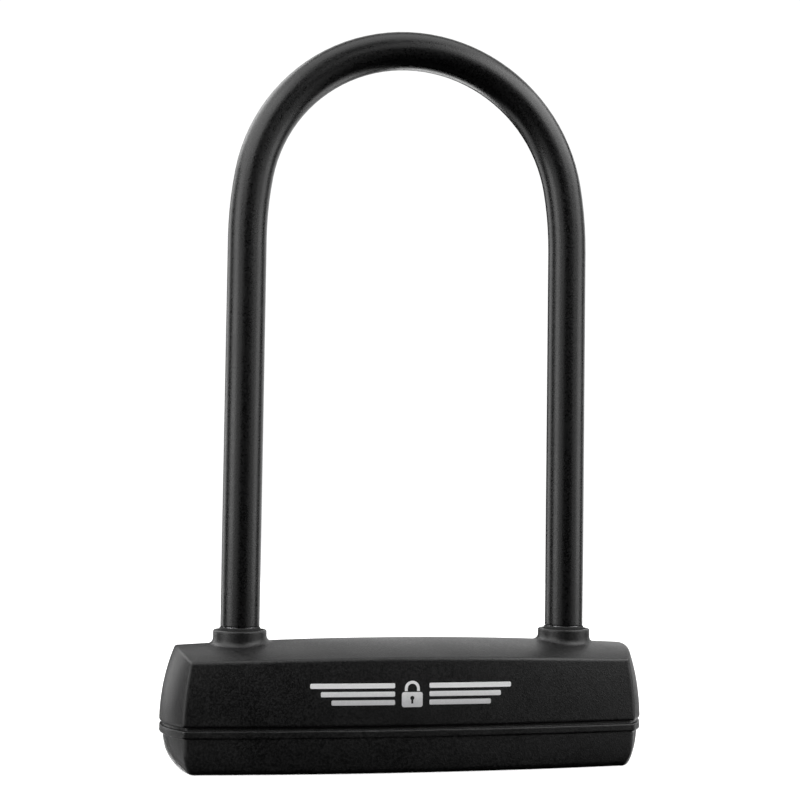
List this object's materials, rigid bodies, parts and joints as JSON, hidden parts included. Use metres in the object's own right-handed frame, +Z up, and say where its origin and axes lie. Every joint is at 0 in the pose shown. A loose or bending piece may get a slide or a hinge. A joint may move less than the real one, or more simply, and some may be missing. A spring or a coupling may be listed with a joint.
{
  "type": "u lock",
  "caption": "Bicycle U-lock: vinyl-coated steel shackle in a black two-part crossbar with a double deadbolt, disc-detainer cylinder and sliding keyhole shutter.",
  "frame": {"origin": "centre of the crossbar's flat underside, on the surface the lock stands on", "axes": "+X along the crossbar to the right leg, +Y to the back, +Z up the legs of the shackle"},
  "size_m": [0.1902, 0.054, 0.289],
  "materials": {
    "cover_plastic": "satin black with a fine moulded grain",
    "shutter_plastic": "smooth satin black",
    "sleeve_vinyl": "soft satin black vinyl with a fine grain",
    "seal_rubber": "dull black rubber",
    "hardened_steel": "ground hardened steel",
    "tube_steel": "drawn hardened steel",
    "cast_metal": "die-cast, dull grey",
    "bolt_steel": "ground steel",
    "spring_steel": "blued spring steel",
    "screw_zinc": "bright zinc plate",
    "cylinder_brass": "turned brass",
    "disc_brass": "stamped brass"
  },
  "bodies": {
    "crossbar": {"upper_cover": "cover_plastic", "lower_cover": "cover_plastic", "cover_screws": "screw_zinc", "crossbar_tube": "tube_steel", "left_tube_end_cap": "tube_steel", "right_tube_end_cap": "tube_steel", "left_foot_socket": "cast_metal", "right_foot_socket": "cast_metal", "left_bolt_guide": "cast_metal", "right_bolt_guide": "cast_metal", "left_collar_seal": "seal_rubber", "right_collar_seal": "seal_rubber", "cylinder_housing": "cylinder_brass", "cylinder_retaining_pin": "bolt_steel"},
    "shackle": {"shackle_bar": "hardened_steel", "shackle_sleeve": "sleeve_vinyl"},
    "plug": {"cylinder_plug": "cylinder_brass", "anti_drill_plate": "bolt_steel", "plug_clip": "spring_steel", "drive_cam": "bolt_steel", "left_drive_pin": "bolt_steel", "right_drive_pin": "bolt_steel", "detainer_disc_1": "disc_brass", "detainer_disc_2": "disc_brass", "detainer_disc_3": "disc_brass", "detainer_disc_4": "disc_brass", "detainer_disc_5": "disc_brass", "detainer_disc_6": "disc_brass", "detainer_disc_7": "disc_brass", "disc_spacer_1": "disc_brass", "disc_spacer_2": "disc_brass", "disc_spacer_3": "disc_brass", "disc_spacer_4": "disc_brass", "disc_spacer_5": "disc_brass", "disc_spacer_6": "disc_brass"},
    "sidebar_body": {"sidebar": "bolt_steel"},
    "left_bolt_body": {"left_bolt": "bolt_steel"},
    "right_bolt_body": {"right_bolt": "bolt_steel"},
    "shutter": {"keyhole_shutter": "shutter_plastic"}
  },
  "joints": [
    {"name": "shackle_lift", "type": "slide", "parent": "crossbar", "child": "shackle", "axis": [0, 0, 1], "range_m": [0, 0.09]},
    {"name": "plug_turn", "type": "hinge", "parent": "crossbar", "child": "plug", "pos_m": [0, 0, 0.015], "axis": [0, 0, 1], "range_deg": [0, 90]},
    {"name": "sidebar_slide", "type": "slide", "parent": "plug", "child": "sidebar_body", "axis": [0, -1, 0], "range_m": [0, 0.0009]},
    {"name": "left_bolt_slide", "type": "slide", "parent": "crossbar", "child": "left_bolt_body", "axis": [-1, 0, 0], "range_m": [0, 0.0078]},
    {"name": "right_bolt_slide", "type": "slide", "parent": "crossbar", "child": "right_bolt_body", "axis": [1, 0, 0], "range_m": [0, 0.0078]},
    {"name": "shutter_slide", "type": "slide", "parent": "crossbar", "child": "shutter", "axis": [1, 0, 0], "range_m": [0, 0.0189]}
  ],
  "couplings": [
    {"joint": "left_bolt_slide", "follows": "plug_turn", "m_per_rad": 0.0049517},
    {"joint": "right_bolt_slide", "follows": "plug_turn", "m_per_rad": 0.0049517}
  ]
}
